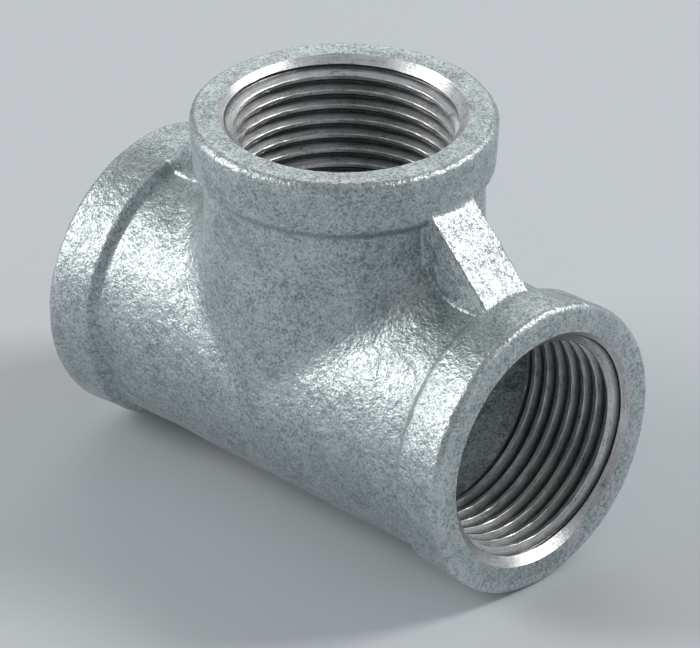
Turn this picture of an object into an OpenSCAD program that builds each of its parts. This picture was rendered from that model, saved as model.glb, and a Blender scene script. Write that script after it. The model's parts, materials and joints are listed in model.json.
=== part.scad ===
// Equal pipe tee: a galvanised malleable iron casting with three female threaded ends.
// The branch axis is +Z and the run axis is X. The origin is on the surface that the run's two
// bands rest on, straight below the point where the two axes cross.

/* [Body] */
// Iron left outside the thread's root, in the barrels
thread_wall = 3; // [2:0.1:5]
// How much smaller the branch barrel's radius is than the run barrel's
branch_slim = 0.2; // [0.1:0.1:1]
// Radius of the fillet where the branch barrel grows out of the run barrel
crotch_round = 7.5; // [5:0.5:8]

/* [Bands] */
// How far each reinforcing band stands out from the barrel
band_rise = 1.7; // [1:0.1:3]
// Length of each band along its axis
band_w = 8; // [6:0.5:10]
// Rounding of each band's two outer edges
band_round = 1.2; // [0.5:0.1:1.6]

/* [Threads] */
// Diameter across the crests of the 1 inch parallel pipe thread
thread_minor_d = 30.291; // [28:0.001:34]
// Depth of the thread, from its crests to its roots
thread_depth = 1.479; // [1:0.001:2]
// Length of the threaded zone, from the end face inwards
thread_len = 18; // [12:0.5:24]
// Room left between the run's threaded zones and the branch's, past where their mouths would meet
thread_gap = 2.7755; // [0.5:0.0005:12]
// How much wider the countersunk mouth is than the thread's root, on the radius
mouth_rise = 0.6; // [0.3:0.1:1]
// How much wider the cast waterway is than the thread's crests, on the radius
waterway_rise = 0.85; // [0.3:0.05:1.4]

/* [Ribs] */
// Thickness of the two ribs between the branch band and the run bands
rib_t = 8.5; // [4:0.5:12]
// How far a rib's sloping face stands outside the corners of the two bands that it joins
rib_rise = 0.4; // [0:0.1:0.8]

/* [Hidden] */
$fn = 96;
zinc = "#9aa2a4";
cut_iron = "#6f6b66";

thread_minor_r = thread_minor_d / 2;
mouth_r = thread_minor_r + thread_depth + mouth_rise;
waterway_r = thread_minor_r + waterway_rise;
barrel_r = thread_minor_r + thread_depth + thread_wall;
branch_r = barrel_r - branch_slim;
band_r = barrel_r + band_rise;
// The threaded zones begin this far from the crossing of the axes, and each ends at an end face
thread_start = mouth_r + thread_gap;
centre_to_end = thread_start + thread_len;
// The barrels end under the bands
barrel_half = centre_to_end - band_w;
// Height of the run axis when the two run bands rest on the ground
axis_h = band_r;
// Cuts run past the solids that they open by this much
past = 1;

// Fillet: how far it goes round the branch from each rib, and its steps along and across
crotch_angle = 74;
crotch_steps = 14;
crotch_arc_steps = 7;
crotch_step_angle = crotch_angle / crotch_steps;
// The facets' corners stand out by this factor, so that the flats only touch the barrels
facet_clear = 1 / cos(crotch_step_angle / 2);

// Each end is drawn along +Z from the crossing of the axes, then turned to its place
module at_end(end) {
    turn = end == "right" ? 90 : end == "left" ? -90 : 0;
    translate([0, 0, axis_h]) rotate([0, turn, 0]) children();
}

// Solid rod along the whole run
module run_rod(r, half) {
    translate([0, 0, axis_h]) rotate([0, 90, 0]) cylinder(r = r, h = 2 * half, center = true);
}

// Solid rod from the run's axis up the branch
module branch_rod(r, top) {
    translate([0, 0, axis_h]) cylinder(r = r, h = top);
}

// The room that a threaded zone takes out of the casting around it
module thread_room(end) {
    at_end(end) translate([0, 0, thread_start]) cylinder(r = mouth_r, h = thread_len + past);
}

// Everything that is open or threaded inside the casting
module inside() {
    run_rod(waterway_r, centre_to_end + past);
    branch_rod(waterway_r, centre_to_end + past);
    for (end = ["right", "left", "branch"]) thread_room(end);
}

// Half outline of a band, from radius inner_r outwards, with its two outer edges rounded
module band_outline(inner_r) {
    flat_r = band_r - band_round;
    translate([inner_r, barrel_half]) square([flat_r - inner_r, band_w]);
    translate([inner_r, barrel_half + band_round]) square([band_r - inner_r, band_w - 2 * band_round]);
    for (edge = [barrel_half + band_round, centre_to_end - band_round])
        translate([flat_r, edge]) circle(r = band_round, $fn = 48);
}

module band(end) {
    color(zinc) at_end(end) rotate_extrude() band_outline(mouth_r);
}

// A band filled in to its axis, which cuts the ribs to meet it
module band_plug(end) {
    at_end(end) rotate_extrude() band_outline(0);
}

module run_barrel() {
    color(zinc) difference() {
        run_rod(barrel_r, barrel_half);
        inside();
    }
}

module branch_barrel() {
    color(zinc) difference() {
        branch_rod(branch_r, barrel_half);
        run_rod(barrel_r, centre_to_end);
        inside();
    }
}

// Threaded zone: its bore is the cylinder across the thread's crests, with a countersunk mouth
module thread(end) {
    countersink = mouth_r - thread_minor_r;
    color(cut_iron) at_end(end) rotate_extrude() polygon([
        [thread_minor_r, thread_start],
        [mouth_r, thread_start],
        [mouth_r, centre_to_end],
        [thread_minor_r, centre_to_end - countersink]
    ]);
}

// Centre of the ball that rolls in the corner between the barrels, at one angle round the branch
function ball(angle) =
    let (reach = branch_r + crotch_round, y = reach * sin(angle))
    [reach * cos(angle), y, sqrt(pow(barrel_r + crotch_round, 2) - y * y)];

// One section of the fillet: from the branch barrel round the ball to the run barrel, and the corner
function crotch_section(angle) =
    let (
        c = ball(angle),
        share = barrel_r / (barrel_r + crotch_round),
        up = [branch_r * cos(angle), branch_r * sin(angle), c.z] - c,
        down = [c.x, share * c.y, share * c.z] - c,
        sweep = acos(up * down / (norm(up) * norm(down))),
        corner_y = branch_r * sin(angle)
    )
    concat(
        [for (i = [0:crotch_arc_steps])
            let (t = i / crotch_arc_steps)
            c + (sin((1 - t) * sweep) * up + sin(t * sweep) * down) / sin(sweep)],
        [[branch_r * cos(angle), corner_y, sqrt(barrel_r * barrel_r - corner_y * corner_y)]]
    );

// Fillet between the barrels from the middle of the +X rib round to the back, before the rib's cut
module crotch_fillet() {
    across = crotch_arc_steps + 2;
    points = [for (i = [0:crotch_steps]) each crotch_section(i * crotch_step_angle)];
    sides = [for (i = [0:crotch_steps - 1], j = [0:across - 1])
        let (a = i * across + j, b = i * across + (j + 1) % across)
        each [[a, b, b + across], [a, b + across, a + across]]];
    first_cap = [for (j = [across - 1:-1:0]) j];
    last_cap = [for (j = [0:across - 1]) crotch_steps * across + j];
    scale(facet_clear) polyhedron(points = points, faces = concat(sides, [first_cap, last_cap]));
}

// Fillet beside one rib: x_side is 1 for the right rib, y_side is 1 for the back of the rib
module crotch(x_side, y_side) {
    color(zinc) translate([0, 0, axis_h]) mirror([x_side < 0 ? 1 : 0, 0, 0])
        mirror([0, y_side < 0 ? 1 : 0, 0]) difference() {
            crotch_fillet();
            translate([0, -past, 0]) cube([centre_to_end, rib_t / 2 + past, centre_to_end]);
        }
}

// Rib in the plane of the two axes, from the branch band's lower edge to a run band's inner edge
module rib(side) {
    corner = barrel_half + rib_rise;
    end = side > 0 ? "right" : "left";
    color(zinc) difference() {
        translate([0, rib_t / 2, axis_h]) rotate([90, 0, 0]) linear_extrude(rib_t) polygon([
            [side * mouth_r, mouth_r],
            [side * corner, mouth_r],
            [side * corner, band_r],
            [side * band_r, corner],
            [side * mouth_r, corner]
        ]);
        run_rod(barrel_r, centre_to_end);
        branch_rod(branch_r, centre_to_end);
        band_plug(end);
        band_plug("branch");
    }
}

module crotch_right_front() { crotch(1, -1); }
module crotch_right_back() { crotch(1, 1); }
module crotch_left_front() { crotch(-1, -1); }
module crotch_left_back() { crotch(-1, 1); }
module rib_right() { rib(1); }
module rib_left() { rib(-1); }
module run_band_right() { band("right"); }
module run_band_left() { band("left"); }
module branch_band() { band("branch"); }
module run_thread_right() { thread("right"); }
module run_thread_left() { thread("left"); }
module branch_thread() { thread("branch"); }

run_barrel();
branch_barrel();
crotch_right_front();
crotch_right_back();
crotch_left_front();
crotch_left_back();
rib_right();
rib_left();
run_band_right();
run_band_left();
branch_band();
run_thread_right();
run_thread_left();
branch_thread();
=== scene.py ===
import json
import math

import bpy
import numpy as np
from mathutils import Matrix, Vector


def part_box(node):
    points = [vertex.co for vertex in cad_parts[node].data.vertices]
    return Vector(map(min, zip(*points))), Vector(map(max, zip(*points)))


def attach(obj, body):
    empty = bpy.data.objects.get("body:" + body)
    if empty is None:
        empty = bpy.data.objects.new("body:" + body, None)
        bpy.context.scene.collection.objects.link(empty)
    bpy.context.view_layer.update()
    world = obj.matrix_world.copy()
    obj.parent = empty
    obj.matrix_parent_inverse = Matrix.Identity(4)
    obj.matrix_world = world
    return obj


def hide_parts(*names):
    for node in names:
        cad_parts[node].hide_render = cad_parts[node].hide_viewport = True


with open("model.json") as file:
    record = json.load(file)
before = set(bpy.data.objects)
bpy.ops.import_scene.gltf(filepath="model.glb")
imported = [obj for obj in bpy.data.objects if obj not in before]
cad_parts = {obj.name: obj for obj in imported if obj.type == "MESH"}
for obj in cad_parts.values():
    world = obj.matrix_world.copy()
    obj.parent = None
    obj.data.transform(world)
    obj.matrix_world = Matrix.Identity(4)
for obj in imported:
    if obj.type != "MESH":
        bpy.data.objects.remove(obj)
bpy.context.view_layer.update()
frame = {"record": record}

# ---------------------------------------------------------------------------------------------
# Sizes. Lengths are in millimetres from the point where the two axes cross, until a mesh is
# made; MM turns them into the frame's metres.
# ---------------------------------------------------------------------------------------------

MM = 0.001


def node_span(node, axis):
    """A CAD node's lowest and highest coordinate along one axis, in millimetres of the frame."""
    low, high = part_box(node)
    return low[axis] / MM, high[axis] / MM


def mount_radius(name):
    """The radius of a round mount of the record, in millimetres."""
    return next(m["dims"]["r_mm"] for m in frame["record"]["mounts"] if m["name"] == name)


BAND_IN, END = node_span("run_band_right", 0)       # a band's inner end, and the end face
BAND_R = node_span("run_band_right", 1)[1]
AXIS_H = BAND_R                                     # the run rests on its two bands
BARREL_R = node_span("run_barrel", 1)[1]
BRANCH_R = node_span("branch_barrel", 1)[1]
THREAD_IN = node_span("run_thread_right", 0)[0]     # where the threaded zone begins
MOUTH_R = node_span("run_thread_right", 1)[1]       # the countersink's radius at the face
RIB_HALF = node_span("rib_right", 1)[1]
CREST_R = mount_radius("branch_end")
CORE_STEP = 0.85                                    # the waterway's radius past the crests
WATERWAY_R = CREST_R + CORE_STEP
CROTCH_ROUND = 7.5
RIB_STEP = 0.4                                      # a rib's slope lies this far past the bands
RIB_REACH = BAND_IN + BAND_R + RIB_STEP             # x + z along a rib's sloping face
BAND_ROUND = 1.2                                    # a band's edge at the end face
BAND_BACK_ROUND = 1.0                               # its edge towards the barrel
BAND_DRAFT = 0.065                                  # how fast it narrows away from the end face
BAND_RAMP_SLOPE = math.radians(50)                  # its back leans this much from the barrel
BAND_FOOT_ROUND = 0.35
RIB_EDGE_ROUND = 0.35
RIB_FOOT_ROUND = 0.4

# The pipe thread: 55 degree form, right-handed, with rounded roots and flat-bored crests
PITCH = 2.309
THREAD_DEPTH = 1.479
FORM_ROUND = 0.137329 * PITCH
FORM_HEIGHT = 0.960491 * PITCH
HALF_FLANK = math.radians(27.5)
CREST_BORE = 0.12                                   # how much of the round crests is bored off
# The tap's chatter: height, waves in a turn, and how they lean with depth
CHATTER = [(0.003, 9, 1.3), (0.004, 5, -2.1)]
MOUTH_LINE_HEIGHT = 0.006                           # the fine turned lines of the countersink
MOUTH_LINE_PITCH = 0.33
MOUTH_EDGE = 0.1                                    # they start this deep

SKIN_GRID = 0.33             # cell size of the grid the skin is made on
THREAD_TURNS, THREAD_ROWS = ((320, 216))


# ---------------------------------------------------------------------------------------------
# Distance fields of the casting. Each takes arrays x, y and z and is negative inside.
# ---------------------------------------------------------------------------------------------

def rolling_union(a, b, dot, radius):
    """Union with the fillet of a ball rolled along the corner; dot is the normals' dot product."""
    gap = np.maximum(1 - dot * dot, 1e-6)
    u, v = radius - a, radius - b
    in_corner = (u - dot * v > 0) & (v - dot * u > 0)
    reach = np.sqrt(np.maximum(u * u + v * v - 2 * dot * u * v, 0) / gap)
    return np.where(in_corner, radius - reach, np.minimum(a, b))


def round_union(a, b, radius):
    """Union of two fields that meet at a right angle, with a fillet."""
    reach = np.hypot(np.maximum(radius - a, 0), np.maximum(radius - b, 0))
    return np.maximum(radius, np.minimum(a, b)) - reach


def round_cut(a, b, radius):
    """Intersection of two fields that meet at a right angle, with a rounded edge."""
    reach = np.hypot(np.maximum(radius + a, 0), np.maximum(radius + b, 0))
    return np.minimum(-radius, np.maximum(a, b)) + reach


def round_corner(a, b, dot, radius):
    """Intersection with a rounded edge; dot is the dot product of the two normals."""
    return -rolling_union(-a, -b, dot, radius)


def crossing_dot(x, y, z):
    """The dot product of the normals of a rod along X and a rod along Z."""
    return y * y / np.maximum(np.hypot(y, z) * np.hypot(x, y), 1e-6)


def run_rod(x, y, z, radius, half):
    return np.maximum(np.hypot(y, z) - radius, np.abs(x) - half)


def branch_rod(x, y, z, radius, top):
    return np.maximum(np.hypot(x, y) - radius, np.maximum(z - top, -z))


def band(across, along):
    """A band filled to its axis: square at the end face, slightly conical, sloping at its back,
    with rounded edges."""
    rim = across - BAND_R + BAND_DRAFT * (END - along)
    front = round_cut(rim, along - END, BAND_ROUND)
    lean = math.sin(BAND_RAMP_SLOPE), math.cos(BAND_RAMP_SLOPE)
    half_way = (BAND_R + BARREL_R) / 2
    back = (BAND_IN - along) * lean[0] + (across - half_way) * lean[1]
    return round_corner(front, back, lean[1], BAND_BACK_ROUND)


def ribs(x, y, z):
    """Both ribs: a slab cut by the slope between two bands, and kept inside the casting."""
    slope = (np.abs(x) + z - RIB_REACH) / math.sqrt(2)
    slab = round_cut(np.abs(y) - RIB_HALF, slope, RIB_EDGE_ROUND)
    from_axes, to_bands = 8.0, BAND_IN + 5
    kept = np.maximum(from_axes - np.minimum(z, np.abs(x)), np.maximum(z, np.abs(x)) - to_bands)
    return np.maximum(slab, kept)


def outer_skin(x, y, z):
    """The casting with its bores filled in."""
    tuck = BAND_IN + 2
    body = rolling_union(
        run_rod(x, y, z, BARREL_R, tuck), branch_rod(x, y, z, BRANCH_R, tuck),
        crossing_dot(x, y, z), CROTCH_ROUND)
    body = round_union(body, ribs(x, y, z), RIB_FOOT_ROUND)
    body = round_union(body, band(np.hypot(y, z), np.abs(x)), BAND_FOOT_ROUND)
    return round_union(body, band(np.hypot(x, y), z), BAND_FOOT_ROUND)


def hollow(x, y, z):
    """The cast waterways, and the rooms that the threaded zones fill."""
    beyond, edge_round = END + 4, 1.5
    ways = rolling_union(
        run_rod(x, y, z, WATERWAY_R, beyond), branch_rod(x, y, z, WATERWAY_R, beyond),
        crossing_dot(x, y, z), edge_round)
    run_room = np.maximum(np.hypot(y, z) - MOUTH_R, THREAD_IN - np.abs(x))
    branch_room = np.maximum(np.hypot(x, y) - MOUTH_R, THREAD_IN - z)
    return np.minimum(ways, np.minimum(run_room, branch_room))


# ---------------------------------------------------------------------------------------------
# Relief of a sand casting: sums of waves in random directions, the same on every run
# ---------------------------------------------------------------------------------------------

class Waves:
    """A smooth random field with wavelengths between two lengths and a given rms height."""

    def __init__(self, seed, shortest, longest, height, count=40):
        rng = np.random.default_rng(seed)
        direction = rng.normal(size=(count, 3))
        direction /= np.linalg.norm(direction, axis=1)[:, None]
        length = np.exp(rng.uniform(math.log(shortest), math.log(longest), count))
        self.wave = direction * (2 * math.pi / length)[:, None]
        self.phase = rng.uniform(0, 2 * math.pi, count)
        self.weight = np.sqrt(length) * height * math.sqrt(2 / length.sum())

    def __call__(self, x, y, z):
        total = np.zeros_like(x)
        for wave, phase, weight in zip(self.wave, self.phase, self.weight):
            total += weight * np.sin(wave[0] * x + wave[1] * y + wave[2] * z + phase)
        return total


def smooth_step(start, end, value):
    """From 0 at the start to 1 at the end, with no kink."""
    t = np.clip((value - start) / (end - start), 0, 1)
    return t * t * (3 - 2 * t)


SWELL = Waves(seed=3, shortest=7.0, longest=22.0, height=0.05, count=24)
GRAIN = Waves(seed=5, shortest=1.5, longest=4.0, height=0.016)
RIB_GRAIN = Waves(seed=12, shortest=1.2, longest=4.0, height=0.035)
CORE_GRAIN = Waves(seed=9, shortest=1.5, longest=5.0, height=0.05)


def skin_relief(x, y, z):
    """How far the outside stands out from its drawn shape. The ribs are the roughest part."""
    on_rib = smooth_step(RIB_HALF + 2, RIB_HALF, np.abs(y))
    on_rib = on_rib * smooth_step(BRANCH_R - 1, BRANCH_R + 1, np.minimum(np.abs(x), z))
    on_rib = on_rib * smooth_step(BAND_IN + 1, BAND_IN - 1, np.maximum(np.abs(x), z))
    return SWELL(x, y, z) + GRAIN(x, y, z) + on_rib * RIB_GRAIN(x, y, z)


def core_relief(x, y, z):
    """The same for the waterway's wall, which the sand core makes rougher. None in the rooms."""
    fade = 0.8
    inside = np.minimum(THREAD_IN - np.abs(x), THREAD_IN - z) / fade
    return CORE_GRAIN(x, y, z) * np.clip(inside, 0, 1)


def gradient(field, points, step=0.02):
    """The field's slope at each point."""
    columns = []
    for axis in range(3):
        shift = np.zeros(3)
        shift[axis] = step
        columns.append((field(*(points + shift).T) - field(*(points - shift).T)) / (2 * step))
    return np.stack(columns, axis=1)


# ---------------------------------------------------------------------------------------------
# The casting's regions, one piece each, and the surfaces that part them
# ---------------------------------------------------------------------------------------------

RUN_BANDS = ["run_band_right", "run_band_left"]
CROTCHES = ["crotch_right_front", "crotch_right_back", "crotch_left_front", "crotch_left_back"]
RIBS = ["rib_right", "rib_left"]
REGIONS = RUN_BANDS + ["branch_band"] + RIBS + CROTCHES + ["run_barrel", "branch_barrel"]
LABEL = {name: number + 1 for number, name in enumerate(REGIONS)}
AIR, VOID = 0, 255                                  # labels of the space outside and inside
RANK = [0, 0, 1, 2, 2, 3, 3, 3, 3, 4, 4]            # which parting surface bounds each region

WALL_SHARE = 1.6                                    # how deep a rib or a fillet goes into the wall
RIB_SIDE = RIB_HALF + RIB_FOOT_ROUND + 0.2
FILLET_START_DOT = math.cos(math.radians(38))       # a flatter corner than this has no fillet piece


def rib_zone(x, y, z):
    """Between the barrels' outsides, above the run's axis, and a little into both walls."""
    a, b = np.hypot(y, z) - BARREL_R, np.hypot(x, y) - BRANCH_R
    deep = np.maximum(np.maximum(-a, -b) - WALL_SHARE, -z)
    return np.maximum(deep, np.abs(y) - RIB_SIDE)


def crotch_zone(x, y, z):
    """Around the corner where the barrels meet, out to where the rolled ball touches them."""
    a, b = np.hypot(y, z) - BARREL_R, np.hypot(x, y) - BRANCH_R
    dot = np.clip(crossing_dot(x, y, z), 0, 0.999)
    away = np.sqrt(np.maximum(a * a + b * b - 2 * dot * a * b, 0) / (1 - dot * dot))
    touch = CROTCH_ROUND * np.sqrt((1 - dot) / (1 + dot))
    deep = np.maximum(np.maximum(-a, -b) - WALL_SHARE, -z)
    return np.maximum(np.maximum(away - touch, deep), (dot - FILLET_START_DOT) * CROTCH_ROUND)


def nearer_barrel(x, y, z):
    return (np.hypot(y, z) - BARREL_R) - (np.hypot(x, y) - BRANCH_R)


PARTINGS = [
    lambda x, y, z: BAND_IN - np.abs(x),
    lambda x, y, z: BAND_IN - z,
    rib_zone,
    crotch_zone,
    nearer_barrel,
]


def region(x, y, z):
    """The label that each point has if it is iron. The first parting field below zero decides."""
    in_run_band, in_branch_band, in_rib, in_crotch, in_run = [p(x, y, z) < 0 for p in PARTINGS]
    right, back = x > 0, y > 0
    label = np.where(in_run, LABEL["run_barrel"], LABEL["branch_barrel"])
    crotch = np.where(
        right,
        np.where(back, LABEL["crotch_right_back"], LABEL["crotch_right_front"]),
        np.where(back, LABEL["crotch_left_back"], LABEL["crotch_left_front"]))
    label = np.where(in_crotch, crotch, label)
    label = np.where(in_rib, np.where(right, LABEL["rib_right"], LABEL["rib_left"]), label)
    label = np.where(in_branch_band, LABEL["branch_band"], label)
    band_label = np.where(right, LABEL["run_band_right"], LABEL["run_band_left"])
    return np.where(in_run_band, band_label, label).astype(np.uint8)


# ---------------------------------------------------------------------------------------------
# Meshing: one vertex in each grid cell that iron shares with something else, first put at the
# mean of the cell's crossings, then moved onto every surface that passes through the cell
# ---------------------------------------------------------------------------------------------

def is_iron(labels):
    return (labels != AIR) & (labels != VOID)


def ends(array, axis):
    """The values at the two ends of every grid edge along an axis."""
    near, far = [slice(None)] * 3, [slice(None)] * 3
    near[axis], far[axis] = slice(None, -1), slice(1, None)
    return array[tuple(near)], array[tuple(far)]


def any_corner(mask):
    """For each cell, whether the mask holds at one of its corners."""
    for axis in range(3):
        near, far = ends(mask, axis)
        mask = near | far
    return mask


def boundary_edges(labels, axis):
    near, far = ends(labels, axis)
    return (near != far) & (is_iron(near) | is_iron(far))


def other_axes(axis):
    return (axis + 1) % 3, (axis + 2) % 3


def square_corners(labels, axis):
    """Views of the labels at the four corners of every grid square across an axis."""
    b, c = other_axes(axis)
    corners = []
    for step_b, step_c in ((0, 0), (1, 0), (1, 1), (0, 1)):
        part = [slice(None)] * 3
        part[b] = slice(step_b, labels.shape[b] - 1 + step_b)
        part[c] = slice(step_c, labels.shape[c] - 1 + step_c)
        corners.append(labels[tuple(part)])
    return corners


def untangle(labels):
    """Where a region meets itself only across a square's diagonal, a third corner joins it, so
    that no edge of its mesh has four faces."""
    rounds = 3
    for axis in list(range(3)) * rounds:
        corners = square_corners(labels, axis)
        for n in range(4):
            one, side, two, other = corners[n:] + corners[:n]
            tangled = is_iron(one) & (one == two) & (side != one) & (other != one)
            side[tangled] = one[tangled]


def first_places(labels, depth):
    """Which cells get a vertex, and where in the grid: the mean of its edges' crossings."""
    cells = tuple(n - 1 for n in labels.shape)
    total, count = np.zeros(cells + (3,)), np.zeros(cells)
    for axis in range(3):
        near, far = ends(depth, axis)
        crossed = boundary_edges(labels, axis)
        surface = crossed & (near * far < 0)
        share = np.where(surface, near / np.where(surface, near - far, 1), 0.5)
        b, c = other_axes(axis)
        for step_b in (0, 1):
            for step_c in (0, 1):
                part = [slice(None)] * 3
                part[b] = slice(step_b, step_b + cells[b])
                part[c] = slice(step_c, step_c + cells[c])
                here = crossed[tuple(part)]
                count += here
                total[..., axis] += here * share[tuple(part)]
                total[..., b] += here * step_b
                total[..., c] += here * step_c
    used = count > 0
    return used, np.argwhere(used) + total[used] / count[used][:, None]


def active_surfaces(labels, used):
    """Per vertex, the fields it must be on: skin, hollow, then the parting surfaces."""
    iron = is_iron(labels)
    ranks = [any_corner(iron & np.isin(labels, [k + 1 for k, r in enumerate(RANK) if r == rank]))
             for rank in range(len(PARTINGS))]
    later = np.zeros_like(used)
    parted = [None] * len(PARTINGS)
    for rank in reversed(range(len(PARTINGS))):
        parted[rank] = ranks[rank] & later
        later = later | ranks[rank]
    both_barrels = any_corner(labels == LABEL["run_barrel"])
    both_barrels &= any_corner(labels == LABEL["branch_barrel"])
    parted[-1] = both_barrels
    masks = [any_corner(labels == AIR), any_corner(labels == VOID)] + parted
    return np.stack([m[used] for m in masks], axis=1)


def skin_with_relief(x, y, z):
    return outer_skin(x, y, z) - skin_relief(x, y, z)


def hollow_with_relief(x, y, z):
    return hollow(x, y, z) - core_relief(x, y, z)


def settle(points, active, grid):
    """Moves every vertex onto all of its surfaces at once, by least-change steps. The relief is
    added once the vertices lie on the plain shape."""
    plain_rounds, rounds = 3, 6
    longest, damping = 0.7 * grid, 1e-3
    fields = [outer_skin, hollow] + PARTINGS
    raised = np.zeros(active.shape)
    for turn in range(rounds):
        if turn == plain_rounds:
            for n, relief in enumerate((skin_relief, core_relief)):
                raised[active[:, n], n] = relief(*points[active[:, n]].T)
        value = -raised
        slope = np.zeros(active.shape + (3,))
        for n, field in enumerate(fields):
            on = active[:, n]
            value[on, n] += field(*points[on].T)
            slope[on, n] = gradient(field, points[on])
        square = slope @ slope.transpose(0, 2, 1) + damping * np.eye(active.shape[1])
        step = (slope.transpose(0, 2, 1) @ np.linalg.solve(square, value[..., None]))[..., 0]
        length = np.linalg.norm(step, axis=1)
        step *= np.minimum(1, longest / np.maximum(length, 1e-9))[:, None]
        points = points - step
    return points


def unit(vectors):
    return vectors / np.maximum(np.linalg.norm(vectors, axis=-1, keepdims=True), 1e-12)


def net_faces(labels, index):
    """Every face as (label it bounds, label beyond, its four vertices), seen from outside."""
    inner, outer, quads = [], [], []
    for axis in range(3):
        near, far = ends(labels, axis)
        edge = np.argwhere(boundary_edges(labels, axis))
        b, c = other_axes(axis)
        loop = []
        for step_b, step_c in ((-1, -1), (0, -1), (0, 0), (-1, 0)):
            cell = edge.copy()
            cell[:, b] += step_b
            cell[:, c] += step_c
            loop.append(index[tuple(cell.T)])
        loop = np.stack(loop, axis=1)
        a, z = near[tuple(edge.T)], far[tuple(edge.T)]
        for this, beyond, face in ((a, z, loop), (z, a, loop[:, ::-1])):
            solid = is_iron(this)
            inner.append(this[solid])
            outer.append(beyond[solid])
            quads.append(face[solid])
    return np.concatenate(inner), np.concatenate(outer), np.concatenate(quads)


def casting_nets(grid):
    """The labelled grid, the settled vertices, their outside and inside normals, and the faces."""
    margin = 2.71 * grid                            # not a whole number: faces miss the grid points
    low = np.array([-END, -BAND_R, -BAND_R]) - margin
    high = np.array([END, BAND_R, END]) + margin
    axes = [np.arange(low[n], high[n] + grid, grid) for n in range(3)]
    x, y, z = np.meshgrid(*axes, indexing="ij")
    skin, void = outer_skin(x, y, z), hollow(x, y, z)
    labels = region(x, y, z)
    labels[void < 0] = VOID
    labels[skin > 0] = AIR
    untangle(labels)
    used, place = first_places(labels, np.maximum(skin, -void))
    index = np.full(used.shape, -1)
    index[used] = np.arange(len(place))
    active = active_surfaces(labels, used)
    points = settle(low + place * grid, active, grid)
    normals = np.zeros((2,) + points.shape)
    for side, field, sign in ((0, skin_with_relief, 1), (1, hollow_with_relief, -1)):
        on = active[:, side]
        normals[side, on] = unit(sign * gradient(field, points[on], step=0.05))
    return points, normals, net_faces(labels, index), corner_and_edge_marks(points, normals[0], active)


def corner_and_edge_marks(points, normals, active):
    """For each vertex, how much it lies in a sharp corner and how much on an edge, 0 to 1. The zinc
    material paints shade in the corners and a highlight on the edges from them.
    """
    corner_reach, edge_reach, edge_full = 0.7, 2.0, 0.12
    on_skin = active[:, 0]
    outwards = points[on_skin] + corner_reach * normals[on_skin]
    inwards = points[on_skin] - edge_reach * normals[on_skin]
    crevice, edge = np.zeros(len(points)), np.zeros(len(points))
    crevice[on_skin] = np.clip(1 - outer_skin(*outwards.T) / corner_reach, 0, 1)
    edge[on_skin] = np.clip((1 + outer_skin(*inwards.T) / edge_reach) / edge_full, 0, 1)
    edge[active[:, 0] & active[:, 1]] = 1
    return {"crevice": crevice, "edge": edge}


# ---------------------------------------------------------------------------------------------
# Blender meshes
# ---------------------------------------------------------------------------------------------

def add_mesh(name, points, faces, corner_normals, material, marks):
    """A mesh object from millimetre points, with a normal for each corner of each face, and
    named values for its vertices that the materials read."""
    mesh = bpy.data.meshes.new(name)
    placed = (points + np.array([0, 0, AXIS_H])) * MM
    mesh.from_pydata(placed.tolist(), [], faces.tolist())
    mesh.polygons.foreach_set("use_smooth", np.ones(len(faces), bool))
    mesh.normals_split_custom_set(corner_normals.reshape(-1, 3).tolist())
    mesh.materials.append(material)
    for mark, values in marks.items():
        attribute = mesh.attributes.new(mark, "FLOAT", "POINT")
        attribute.data.foreach_set("value", values.astype(np.float32))
    piece = bpy.data.objects.new(name, mesh)
    bpy.context.scene.collection.objects.link(piece)
    return piece


def face_normals(points, faces):
    across = points[faces[:, 2]] - points[faces[:, 0]]
    down = points[faces[:, 3]] - points[faces[:, 1]]
    return unit(np.cross(across, down))


def fit_piece(piece, node):
    """The piece stands for its CAD node and moves with the one body there is."""
    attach(piece, "root")
    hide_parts(node)


def add_casting(material):
    """One closed piece per region of the casting."""
    points, normals, (inner, outer, quads), marks = casting_nets(SKIN_GRID)
    for name in REGIONS:
        mine = inner == LABEL[name]
        faces, beyond = quads[mine], outer[mine]
        corner = np.repeat(face_normals(points, faces)[:, None], 4, axis=1)
        for label, side in ((AIR, 0), (VOID, 1)):
            on = beyond == label
            corner[on] = normals[side][faces[on]]
        kept, faces = np.unique(faces, return_inverse=True)
        faces = faces.reshape(-1, 4)
        piece_marks = {mark: values[kept] for mark, values in marks.items()}
        piece = add_mesh(name + "_cast", points[kept], faces, corner, material, piece_marks)
        fit_piece(piece, name)


# ---------------------------------------------------------------------------------------------
# The cut threads
# ---------------------------------------------------------------------------------------------

def thread_form(offset):
    """Height of the thread's gap above its crest line, at an axial distance from the gap's middle."""
    u = np.abs(offset)
    line = FORM_HEIGHT * 5 / 6 - u / math.tan(HALF_FLANK)
    turn = FORM_ROUND * math.cos(HALF_FLANK)
    root = THREAD_DEPTH - FORM_ROUND + np.sqrt(np.maximum(FORM_ROUND ** 2 - u * u, 0))
    from_crest = PITCH / 2 - u
    crest = FORM_ROUND - np.sqrt(np.maximum(FORM_ROUND ** 2 - from_crest ** 2, 0))
    return np.where(u < turn, root, np.where(from_crest < turn, crest, line))


def thread_radius(depth, turn, phase):
    """Radius of the threaded wall at a depth from the face and an angle about the axis, and
    how near it is to the thread's root, 0 to 1."""
    turned = (depth / PITCH - turn / (2 * math.pi) + phase + 0.5) % 1 - 0.5
    chatter = sum(height * np.sin(waves * turn + lean * depth) for height, waves, lean in CHATTER)
    cut = CREST_R - CREST_BORE + thread_form(turned * PITCH) + chatter
    bored = np.maximum(cut, CREST_R)
    lines = MOUTH_LINE_HEIGHT * np.sin(depth * 2 * math.pi / MOUTH_LINE_PITCH)
    sunk = MOUTH_R - depth + lines * (depth > MOUTH_EDGE)
    chamfer = WATERWAY_R - (END - THREAD_IN - depth)
    root_share = np.where(bored > sunk, (bored - CREST_R) / THREAD_DEPTH, 0)
    return np.maximum(np.maximum(bored, sunk), chamfer), root_share


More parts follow.
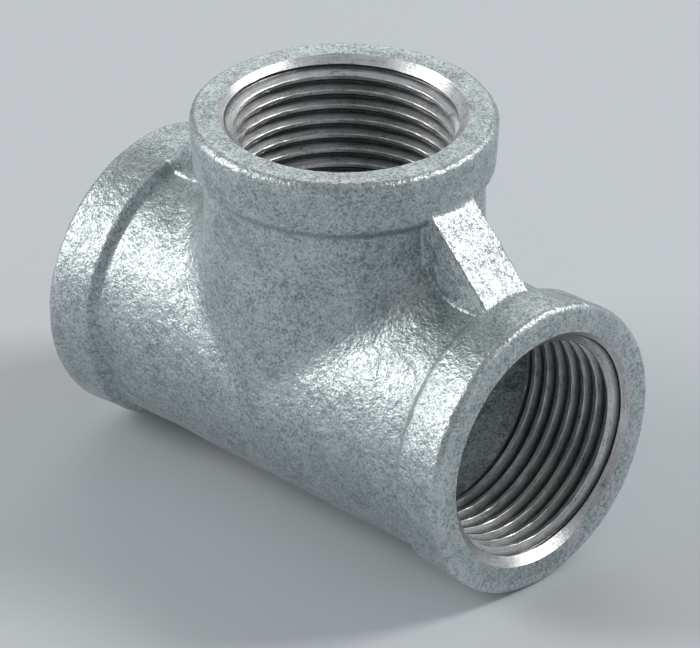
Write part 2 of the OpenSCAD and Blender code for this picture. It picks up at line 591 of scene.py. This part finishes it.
def thread_grid(phase, turns, rows):
    """Depth, angle, radius and inward normal of the threaded wall, row by row from the face."""
    turn = np.linspace(0, 2 * math.pi, turns, endpoint=False)[None, :]
    depth = np.linspace(0, END - THREAD_IN, rows)[:, None] + 0 * turn
    turn = turn + 0 * depth
    radius, root_share = thread_radius(depth, turn, phase)
    radius[0] = MOUTH_R
    dd, dt = 0.03, 0.002

    def change(d, t):
        ahead, behind = [thread_radius(depth + way * d, turn + way * t, phase)[0] for way in (1, -1)]
        return ahead - behind

    slope_d, slope_t = change(dd, 0), change(0, dt)
    normal = np.stack([slope_d / (2 * dd), slope_t / (2 * dt) / radius, -np.ones_like(radius)], -1)
    return depth, turn, radius, unit(normal), root_share


def placed(along, turn, radius, axis):
    """Points from cylinder coordinates about +x, -x or +z. The angle runs against the right-hand
    rule, so a groove that goes deeper as the angle grows is a right-handed thread."""
    c, s = radius * np.cos(turn), radius * np.sin(turn)
    if axis == "x":
        return np.stack([along, s, c], -1)
    if axis == "-x":
        return np.stack([-along, -s, c], -1)
    return np.stack([s, c, along], -1)


def strip(ring, next_ring):
    """What the four corners of each quad between two rings carry, quad by quad."""
    corners = [ring, np.roll(ring, -1, axis=0), np.roll(next_ring, -1, axis=0), next_ring]
    return np.stack(corners, axis=1)


def sleeve_normals(normal, turn, axis):
    """Corner normals of every strip of the sleeve: down the bore, the far end, and outside."""
    turns = len(turn)
    axis_in = placed(np.array([-1.0]), np.array([0.0]), np.array([0.0]), axis)[0]
    radial = placed(0 * turn, turn, np.ones(turns), axis)
    around = placed(0 * turn, turn + math.pi / 2, np.ones(turns), axis)
    bore = normal[..., 0:1] * axis_in + normal[..., 1:2] * around + normal[..., 2:3] * radial
    strips = [strip(bore[row], bore[row + 1]) for row in range(len(bore) - 1)]
    strips += [np.broadcast_to(axis_in, (turns, 4, 3)), strip(radial, radial)]
    return np.concatenate(strips)


def add_thread(name, axis, phase, material):
    """A closed sleeve: threaded inside, plain outside, with a flat end deep in the casting. The
    phase is where the groove starts, in turns."""
    turns = THREAD_TURNS
    depth, turn, radius, normal, root_share = thread_grid(phase, turns, THREAD_ROWS)
    along = END - depth
    along[0] += skin_relief(*placed(along[0], turn[0], radius[0], axis).T)
    bore = placed(along, turn, radius, axis)
    far_edge = placed(along[[-1]], turn[[-1]], np.full((1, turns), MOUTH_R), axis)
    rings = np.concatenate([bore, far_edge])
    ring = np.arange(turns)
    count = len(rings)
    faces = np.concatenate(
        [strip(row * turns + ring, (row + 1) % count * turns + ring) for row in range(count)])
    normals = sleeve_normals(normal, turn[0], axis)
    points = rings.reshape(-1, 3)
    facing = (face_normals(points, faces) * normals[:, 0]).sum(1)
    if facing.mean() < 0:
        faces, normals = faces[:, ::-1], normals[:, ::-1]
    marks = {"root": np.concatenate([root_share.ravel(), np.zeros(turns)])}
    piece = add_mesh(name + "_cut", points, faces, normals, material, marks)
    fit_piece(piece, name)


# ---------------------------------------------------------------------------------------------
# Materials
# ---------------------------------------------------------------------------------------------

def new_material(name):
    material = bpy.data.materials.new(name)
    material.use_nodes = True
    tree = material.node_tree
    tree.nodes.clear()
    shader = tree.nodes.new("ShaderNodeBsdfPrincipled")
    output = tree.nodes.new("ShaderNodeOutputMaterial")
    tree.links.new(shader.outputs["BSDF"], output.inputs["Surface"])
    return material, tree, shader


def place_node(tree):
    return tree.nodes.new("ShaderNodeTexCoord").outputs["Object"]


def noise(tree, where, size_mm, detail=3.0, roughness=0.55):
    """Noise whose features are about that size."""
    node = tree.nodes.new("ShaderNodeTexNoise")
    node.inputs["Scale"].default_value = 1 / (size_mm * MM)
    node.inputs["Detail"].default_value = detail
    node.inputs["Roughness"].default_value = roughness
    tree.links.new(where, node.inputs["Vector"])
    return node.outputs["Fac"]


def remap(tree, value, low, high, to_low, to_high):
    node = tree.nodes.new("ShaderNodeMapRange")
    node.inputs["From Min"].default_value = low
    node.inputs["From Max"].default_value = high
    node.inputs["To Min"].default_value = to_low
    node.inputs["To Max"].default_value = to_high
    tree.links.new(value, node.inputs["Value"])
    return node.outputs["Result"]


def ramp_colour(tree, value, stops):
    node = tree.nodes.new("ShaderNodeValToRGB")
    ramp = node.color_ramp
    ramp.elements[0].position, ramp.elements[0].color = stops[0][0], (*stops[0][1], 1)
    ramp.elements[1].position, ramp.elements[1].color = stops[-1][0], (*stops[-1][1], 1)
    for position, colour in stops[1:-1]:
        ramp.elements.new(position).color = (*colour, 1)
    tree.links.new(value, node.inputs["Fac"])
    return node.outputs["Color"]


def combine(tree, kind, a, b):
    node = tree.nodes.new("ShaderNodeMath")
    node.operation = kind
    for socket, value in zip(node.inputs, (a, b)):
        if isinstance(value, (int, float)):
            socket.default_value = value
        else:
            tree.links.new(value, socket)
    return node.outputs["Value"]


def bump(tree, height, distance_mm, over=None):
    node = tree.nodes.new("ShaderNodeBump")
    node.inputs["Distance"].default_value = distance_mm * MM
    node.inputs["Strength"].default_value = 1.0
    tree.links.new(height, node.inputs["Height"])
    if over is not None:
        tree.links.new(over, node.inputs["Normal"])
    return node.outputs["Normal"]


def stretched(tree, where, scales):
    """The same place, with each axis scaled, so that a noise over it is drawn out."""
    node = tree.nodes.new("ShaderNodeMapping")
    node.inputs["Scale"].default_value = scales
    tree.links.new(where, node.inputs["Vector"])
    return node.outputs["Vector"]


def weighted(tree, *pairs):
    """The sum of values, each times its weight."""
    total = 0.0
    for value, weight in pairs:
        total = combine(tree, "ADD", combine(tree, "MULTIPLY", value, weight), total)
    return total


def mesh_mark(tree, name):
    """A value that the mesh carries at its vertices."""
    node = tree.nodes.new("ShaderNodeAttribute")
    node.attribute_name = name
    return node.outputs["Fac"]


def blend_colour(tree, share, below, above):
    """Goes from one colour to another; either may be a colour or a socket."""
    node = tree.nodes.new("ShaderNodeMix")
    node.data_type = "RGBA"
    tree.links.new(share, node.inputs["Factor"])
    for socket, colour in ((node.inputs[6], below), (node.inputs[7], above)):
        if isinstance(colour, tuple):
            socket.default_value = (*colour, 1)
        else:
            tree.links.new(colour, socket)
    return node.outputs[2]


def zinc_material():
    """Hot-dip zinc on a sand casting: bluish grey, clouded, with painted shade in corners and a
    painted highlight on edges.
    """
    material, tree, shader = new_material("galvanised_casting")
    where = place_node(tree)
    cloud = noise(tree, where, 5.0, detail=3)
    lumps = noise(tree, where, 1.2, detail=2)
    sand = noise(tree, where, 0.42, detail=1)
    dust = noise(tree, where, 0.22, detail=1)
    tint = weighted(tree, (cloud, 0.16), (lumps, 0.18), (sand, 0.34), (dust, 0.32))
    colour = ramp_colour(tree, tint, [
        (0.41, (0.29, 0.335, 0.34)), (0.49, (0.49, 0.54, 0.545)), (0.59, (0.65, 0.695, 0.695))])
    # Painted shade: the colour goes dark in concave corners, where shade falls, broken up by the sand
    # noise; it also makes them a little rougher
    painted_corner_shade = remap(tree, weighted(tree, (mesh_mark(tree, "crevice"), 1.0), (sand, 0.5)),
                  0.36, 0.80, 0.0, 0.75)
    colour = blend_colour(tree, painted_corner_shade, colour, (0.07, 0.085, 0.09))
    # Painted highlight: the colour goes light on sharp outer edges and on the mouths' rims, broken up
    # by the sand noise; it also makes them a little smoother
    painted_edge_highlight = remap(tree, weighted(tree, (mesh_mark(tree, "edge"), 0.6), (sand, 1.0)),
                   0.90, 1.25, 0.0, 0.35)
    colour = blend_colour(tree, painted_edge_highlight, colour, (0.74, 0.77, 0.77))
    tree.links.new(colour, shader.inputs["Base Color"])
    shader.inputs["Metallic"].default_value = 1.0
    polish = weighted(tree, (tint, 1.0), (painted_edge_highlight, 0.05), (painted_corner_shade, -0.15))
    tree.links.new(remap(tree, polish, 0.42, 0.60, 0.52, 0.42), shader.inputs["Roughness"])
    relief = bump(tree, lumps, 0.20)
    relief = bump(tree, sand, 0.085, over=relief)
    relief = bump(tree, dust, 0.045, over=relief)
    tree.links.new(relief, shader.inputs["Normal"])
    return material


def thread_material(name, along, shade):
    """Bare iron as the tap leaves it: fine turning lines across the given axis, painted shade in the
    roots; shade scales every colour, as painted light.
    """
    material, tree, shader = new_material(name)
    where = place_node(tree)
    scales = [0.22, 0.22, 0.22]
    scales["xyz".index(along)] = 5.0
    lines = noise(tree, stretched(tree, where, scales), 0.9, detail=3, roughness=0.7)
    stain = noise(tree, where, 2.2, detail=4)
    fleck = noise(tree, where, 0.45, detail=3)
    tint = weighted(tree, (lines, 0.45), (stain, 0.25), (fleck, 0.30))
    colour = ramp_colour(tree, tint, [
        (0.36, [0.25 * shade] * 3), (0.45, [0.75 * shade] * 3), (0.58, [1.0 * shade] * 3)])
    # Painted shade: the colour goes dark towards the thread's roots, where the crest above shades
    # them, broken up by the flecks
    painted_root_shade = remap(tree, weighted(tree, (mesh_mark(tree, "root"), 1.0), (fleck, 0.3)),
                0.58, 1.05, 0.0, 0.92)
    colour = blend_colour(tree, painted_root_shade, colour, (0.05, 0.05, 0.048))
    tree.links.new(colour, shader.inputs["Base Color"])
    shader.inputs["Metallic"].default_value = 1.0
    tree.links.new(remap(tree, fleck, 0.3, 0.7, 0.42, 0.30), shader.inputs["Roughness"])
    relief = bump(tree, lines, 0.035)
    tree.links.new(bump(tree, fleck, 0.03, over=relief), shader.inputs["Normal"])
    return material


def floor_material():
    material, tree, shader = new_material("pale_paper")
    where = place_node(tree)
    shader.inputs["Roughness"].default_value = 0.9
    shader.inputs["Base Color"].default_value = (0.64, 0.66, 0.68, 1)
    tree.links.new(bump(tree, noise(tree, where, 0.8), 0.02), shader.inputs["Normal"])
    return material


# ---------------------------------------------------------------------------------------------
# Floor, light and camera
# ---------------------------------------------------------------------------------------------

def add_floor():
    half = 6.0
    points = np.array([[-half, -half, 0], [half, -half, 0], [half, half, 0], [-half, half, 0]])
    mesh = bpy.data.meshes.new("floor")
    mesh.from_pydata(points.tolist(), [], [[0, 1, 2, 3]])
    mesh.materials.append(floor_material())
    floor = bpy.data.objects.new("floor", mesh)
    bpy.context.scene.collection.objects.link(floor)


def compass(azimuth, elevation):
    """A unit vector: azimuth from -Y towards +X, elevation above the floor, both in degrees."""
    az, el = math.radians(azimuth), math.radians(elevation)
    return Vector((math.sin(az) * math.cos(el), -math.cos(az) * math.cos(el), math.sin(el)))


def add_softbox(name, azimuth, elevation, distance, width, height, power):
    """A rectangular soft light that looks at the fitting. In degrees, metres and watts."""
    light = bpy.data.lights.new(name, "AREA")
    light.shape = "RECTANGLE"
    light.size, light.size_y = width, height
    light.energy = power
    lamp = bpy.data.objects.new(name, light)
    target = Vector((0, 0, AXIS_H * MM))
    lamp.location = target + compass(azimuth, elevation) * distance
    lamp.rotation_euler = (target - lamp.location).to_track_quat("-Z", "Y").to_euler()
    bpy.context.scene.collection.objects.link(lamp)


def add_world(strength, colour):
    world = bpy.data.worlds.new("studio")
    world.use_nodes = True
    background = world.node_tree.nodes["Background"]
    background.inputs["Color"].default_value = (*colour, 1)
    background.inputs["Strength"].default_value = strength
    bpy.context.scene.world = world


def add_lights():
    add_world(0.31, (0.90, 0.96, 1.0))
    add_softbox("key", -46, 28, 0.9, 0.28, 0.52, 3.6)
    add_softbox("rear", 141, 38, 0.9, 0.26, 0.24, 3.6)
    add_softbox("back", -135, 30, 1.0, 0.7, 0.5, 1.6)
    bpy.context.scene.view_settings.view_transform = "Standard"


CAMERA_AZIMUTH = 44.58
CAMERA_ELEVATION = 29.84
CAMERA_ROLL = -0.11
CAMERA_DISTANCE = 978.5
CAMERA_ASIDE = 0.78                                 # how far beside and above the crossing it aims
CAMERA_ABOVE = 3.98
FOCAL_PER_WIDTH = 7016.4 / 700


def add_camera():
    """The photograph's view, fitted to the outlines of the bands and mouths."""
    forward = -compass(CAMERA_AZIMUTH, CAMERA_ELEVATION)
    right = forward.cross(Vector((0, 0, 1))).normalized()
    up = right.cross(forward)
    centre = Vector((0, 0, AXIS_H)) + right * CAMERA_ASIDE + up * CAMERA_ABOVE
    data = bpy.data.cameras.new("photo_view")
    data.sensor_width = 36.0
    data.lens = data.sensor_width * FOCAL_PER_WIDTH
    data.clip_start, data.clip_end = 0.01, 50
    camera = bpy.data.objects.new("photo_view", data)
    turn = Matrix((right, up, -forward)).transposed().to_4x4()
    roll = Matrix.Rotation(math.radians(CAMERA_ROLL), 4, "Z")
    camera.matrix_world = Matrix.Translation((centre - forward * CAMERA_DISTANCE) * MM) @ turn @ roll
    bpy.context.scene.collection.objects.link(camera)
    bpy.context.scene.camera = camera


# ---------------------------------------------------------------------------------------------
# Scene
# ---------------------------------------------------------------------------------------------


def build():
    add_casting(zinc_material())
    # Two copies of the same cut iron: the branch's is lighter and the run's darker, painted light for
    # how brightly each bore is lit
    run_cut = thread_material("cut_iron_run", "x", 0.70)
    branch_cut = thread_material("cut_iron_branch", "z", 1.0)
    add_thread("run_thread_right", "x", 0.80, run_cut)
    add_thread("run_thread_left", "-x", 0.10, run_cut)
    add_thread("branch_thread", "z", 0.25, branch_cut)
    add_floor()
    add_lights()
    add_camera()


build()
